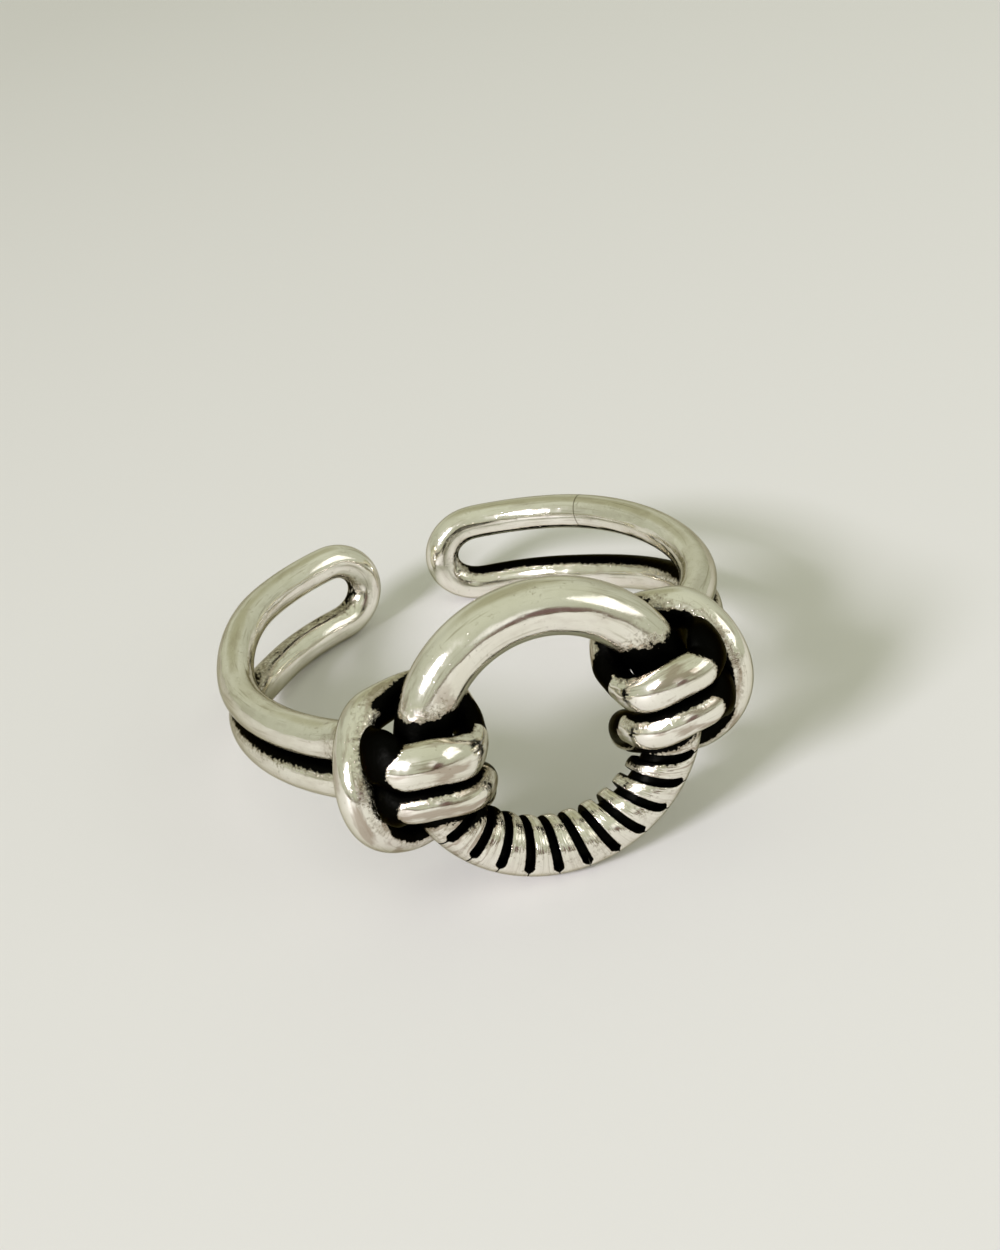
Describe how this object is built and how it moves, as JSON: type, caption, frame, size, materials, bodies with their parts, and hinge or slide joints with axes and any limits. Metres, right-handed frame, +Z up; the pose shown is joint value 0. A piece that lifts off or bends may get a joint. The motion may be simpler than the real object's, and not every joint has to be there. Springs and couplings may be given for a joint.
{
  "type": "adjustable finger ring",
  "caption": "Open silver finger ring: a round wire ring in front, half of it bound with wire, with a doubled wire loop hitched on each side to form the band.",
  "frame": {"origin": "bottom centre of the bounding box, on the surface that the ring lies on", "axes": "+Z up, +X across the finger hole towards the right loop, -Y towards the front, where the centre ring is"},
  "size_m": [0.0208, 0.0228, 0.0112],
  "materials": {
    "bright_silver": "polished",
    "bound_silver": "polished, darkened between its turns",
    "left_loop_silver": "polished, darkened in its recesses",
    "right_loop_silver": "polished, darkened in its recesses"
  },
  "bodies": {
    "centre": {"centre_ring": "bright_silver", "binding_wire": "bound_silver"},
    "left_side": {"left_loop": "left_loop_silver"},
    "right_side": {"right_loop": "right_loop_silver"}
  },
  "joints": [
    {"name": "left_loop_bend", "type": "hinge", "parent": "centre", "child": "left_side", "pos_m": [-0.00432, -0.00892, 0.00509], "axis": [-0.1182, 0.1848, 0.9756], "range_deg": [-2, 8]},
    {"name": "right_loop_bend", "type": "hinge", "parent": "centre", "child": "right_side", "pos_m": [0.00483, -0.00886, 0.00592], "axis": [0.0626, -0.1852, -0.9807], "range_deg": [-2, 8]}
  ]
}
